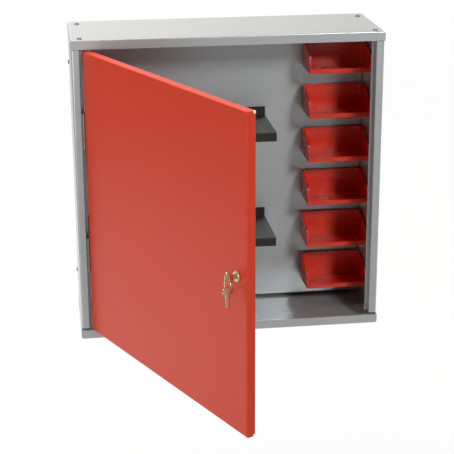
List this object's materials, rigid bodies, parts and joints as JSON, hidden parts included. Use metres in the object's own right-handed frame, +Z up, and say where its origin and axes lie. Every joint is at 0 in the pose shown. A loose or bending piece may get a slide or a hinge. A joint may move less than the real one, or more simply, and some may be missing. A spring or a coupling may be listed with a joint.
{
  "type": "lockable wall cabinet",
  "caption": "Lockable wall cabinet of folded sheet steel with one hinged door, shelves on the left and a column of open-fronted hanging bins on the right.",
  "frame": {"origin": "the middle of the four wall holes, on the wall plane", "axes": "+Z up, +Y into the wall, +X to the right as the cabinet is seen from the front"},
  "size_m": [0.6032, 0.7058, 0.6052],
  "materials": {
    "grey_paint": "semi-gloss silver-grey powder coat with fine metallic pigment",
    "door_paint": "semi-gloss red powder coat",
    "shelf_paint": "satin dark grey powder coat",
    "bin_plastic": "glossy moulded red plastic",
    "zinc_steel": "bright zinc plating",
    "nylon": "moulded white nylon",
    "nickel_plate": "pale nickel plating"
  },
  "bodies": {
    "carcass": {"top_cap": "grey_paint", "bottom_cap": "grey_paint", "left_side": "grey_paint", "right_side": "grey_paint", "back_panel": "grey_paint", "wall_spacers": "zinc_steel", "cap_screws_top": "zinc_steel", "cap_screws_bottom": "zinc_steel", "cap_nuts_top": "zinc_steel", "cap_nuts_bottom": "zinc_steel", "side_screws": "zinc_steel", "side_nuts": "zinc_steel", "upper_shelf": "shelf_paint", "lower_shelf": "shelf_paint", "shelf_screws": "shelf_paint", "shelf_nuts": "zinc_steel", "bin_rails": "zinc_steel", "rail_rivets": "zinc_steel", "hinge_leaf_frame_upper": "zinc_steel", "hinge_leaf_frame_lower": "zinc_steel", "hinge_pins": "zinc_steel", "hinge_rivets_frame": "zinc_steel"},
    "door": {"door_panel": "door_paint", "door_buffers": "nylon", "hinge_leaf_door_upper": "zinc_steel", "hinge_leaf_door_lower": "zinc_steel", "hinge_rivets_door": "zinc_steel", "lock_body": "nickel_plate", "lock_nut": "zinc_steel"},
    "lock_plug": {"lock_plug": "nickel_plate", "lock_cam": "zinc_steel", "cam_screw": "zinc_steel"},
    "key_1": {"key_1": "nickel_plate"},
    "key_ring": {"key_ring": "nickel_plate"},
    "key_2": {"key_2": "nickel_plate"},
    "bin_1": {"bin_1": "bin_plastic"},
    "bin_2": {"bin_2": "bin_plastic"},
    "bin_3": {"bin_3": "bin_plastic"},
    "bin_4": {"bin_4": "bin_plastic"},
    "bin_5": {"bin_5": "bin_plastic"},
    "bin_6": {"bin_6": "bin_plastic"}
  },
  "joints": [
    {"name": "door_hinge", "type": "hinge", "parent": "carcass", "child": "door", "pos_m": [-0.2794, -0.199, 0], "axis": [0, 0, -1], "range_deg": [-65, 105]},
    {"name": "lock_turn", "type": "hinge", "parent": "door", "child": "lock_plug", "pos_m": [-0.05545, -0.67925, 0], "axis": [-0.9063, -0.4226, 0], "range_deg": [0, 90]},
    {"name": "key_pull", "type": "slide", "parent": "lock_plug", "child": "key_1", "axis": [-0.9063, -0.4226, 0], "range_m": [0, 0.026]},
    {"name": "ring_swing", "type": "hinge", "parent": "key_1", "child": "key_ring", "pos_m": [-0.07177, -0.68686, -0.0014], "axis": [0.4226, -0.9063, 0], "range_deg": [-60, 12]},
    {"name": "key_swing", "type": "hinge", "parent": "key_ring", "child": "key_2", "pos_m": [-0.07177, -0.68686, -0.0214], "axis": [0.4226, -0.9063, 0], "range_deg": [-30, 6]},
    {"name": "bin_1_lift", "type": "slide", "parent": "carcass", "child": "bin_1", "axis": [0, 0, 1], "range_m": [0, 0.03]},
    {"name": "bin_2_lift", "type": "slide", "parent": "carcass", "child": "bin_2", "axis": [0, 0, 1], "range_m": [0, 0.03]},
    {"name": "bin_3_lift", "type": "slide", "parent": "carcass", "child": "bin_3", "axis": [0, 0, 1], "range_m": [0, 0.03]},
    {"name": "bin_4_lift", "type": "slide", "parent": "carcass", "child": "bin_4", "axis": [0, 0, 1], "range_m": [0, 0.03]},
    {"name": "bin_5_lift", "type": "slide", "parent": "carcass", "child": "bin_5", "axis": [0, 0, 1], "range_m": [0, 0.03]},
    {"name": "bin_6_lift", "type": "slide", "parent": "carcass", "child": "bin_6", "axis": [0, 0, 1], "range_m": [0, 0.03]}
  ]
}
